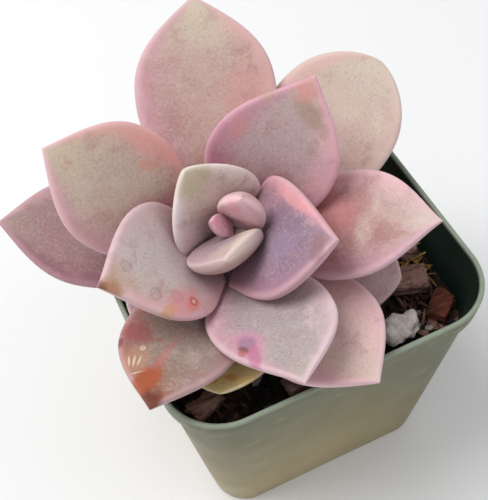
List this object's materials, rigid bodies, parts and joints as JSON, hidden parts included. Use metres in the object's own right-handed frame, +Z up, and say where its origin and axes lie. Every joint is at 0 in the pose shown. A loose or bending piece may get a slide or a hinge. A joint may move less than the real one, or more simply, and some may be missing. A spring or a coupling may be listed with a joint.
{
  "type": "potted succulent",
  "caption": "Pink-grey rosette succulent with thick pointed leaves, leaning on a short stem in a square tapered plastic nursery pot of bark mix.",
  "frame": {"origin": "middle of the pot's flat underside", "axes": "+Z up; X and Y along the pot's sides; the rosette leans towards -Y and a little towards -X"},
  "size_m": [0.0777, 0.0744, 0.0889],
  "materials": {
    "pot_plastic": "satin moulded plastic, olive grey outside and dark green inside",
    "potting_mix": "coarse dark potting mix",
    "stem": "corky green-brown stem",
    "leaf": "matt dusty pink skin with a grey bloom",
    "bark": "rough bark chip",
    "pumice": "rough pale grit"
  },
  "bodies": {
    "root": {"pot": "pot_plastic", "potting_mix": "potting_mix", "stem": "stem", "leaf_01": "leaf", "leaf_02": "leaf", "leaf_03": "leaf", "leaf_04": "leaf", "leaf_05": "leaf", "leaf_06": "leaf", "leaf_07": "leaf", "leaf_08": "leaf", "leaf_09": "leaf", "leaf_10": "leaf", "leaf_11": "leaf", "leaf_12": "leaf", "leaf_13": "leaf", "leaf_14": "leaf", "leaf_15": "leaf", "leaf_16": "leaf", "leaf_17": "leaf", "leaf_18": "leaf", "leaf_19": "leaf", "leaf_20": "leaf", "bark_1": "bark", "bark_2": "bark", "bark_3": "bark", "bark_4": "bark", "bark_5": "bark", "bark_6": "bark", "bark_7": "bark", "bark_8": "bark", "bark_9": "bark", "pumice_1": "pumice", "pumice_2": "pumice", "pumice_3": "pumice", "pumice_4": "pumice", "pumice_5": "pumice"}
  },
  "joints": []
}
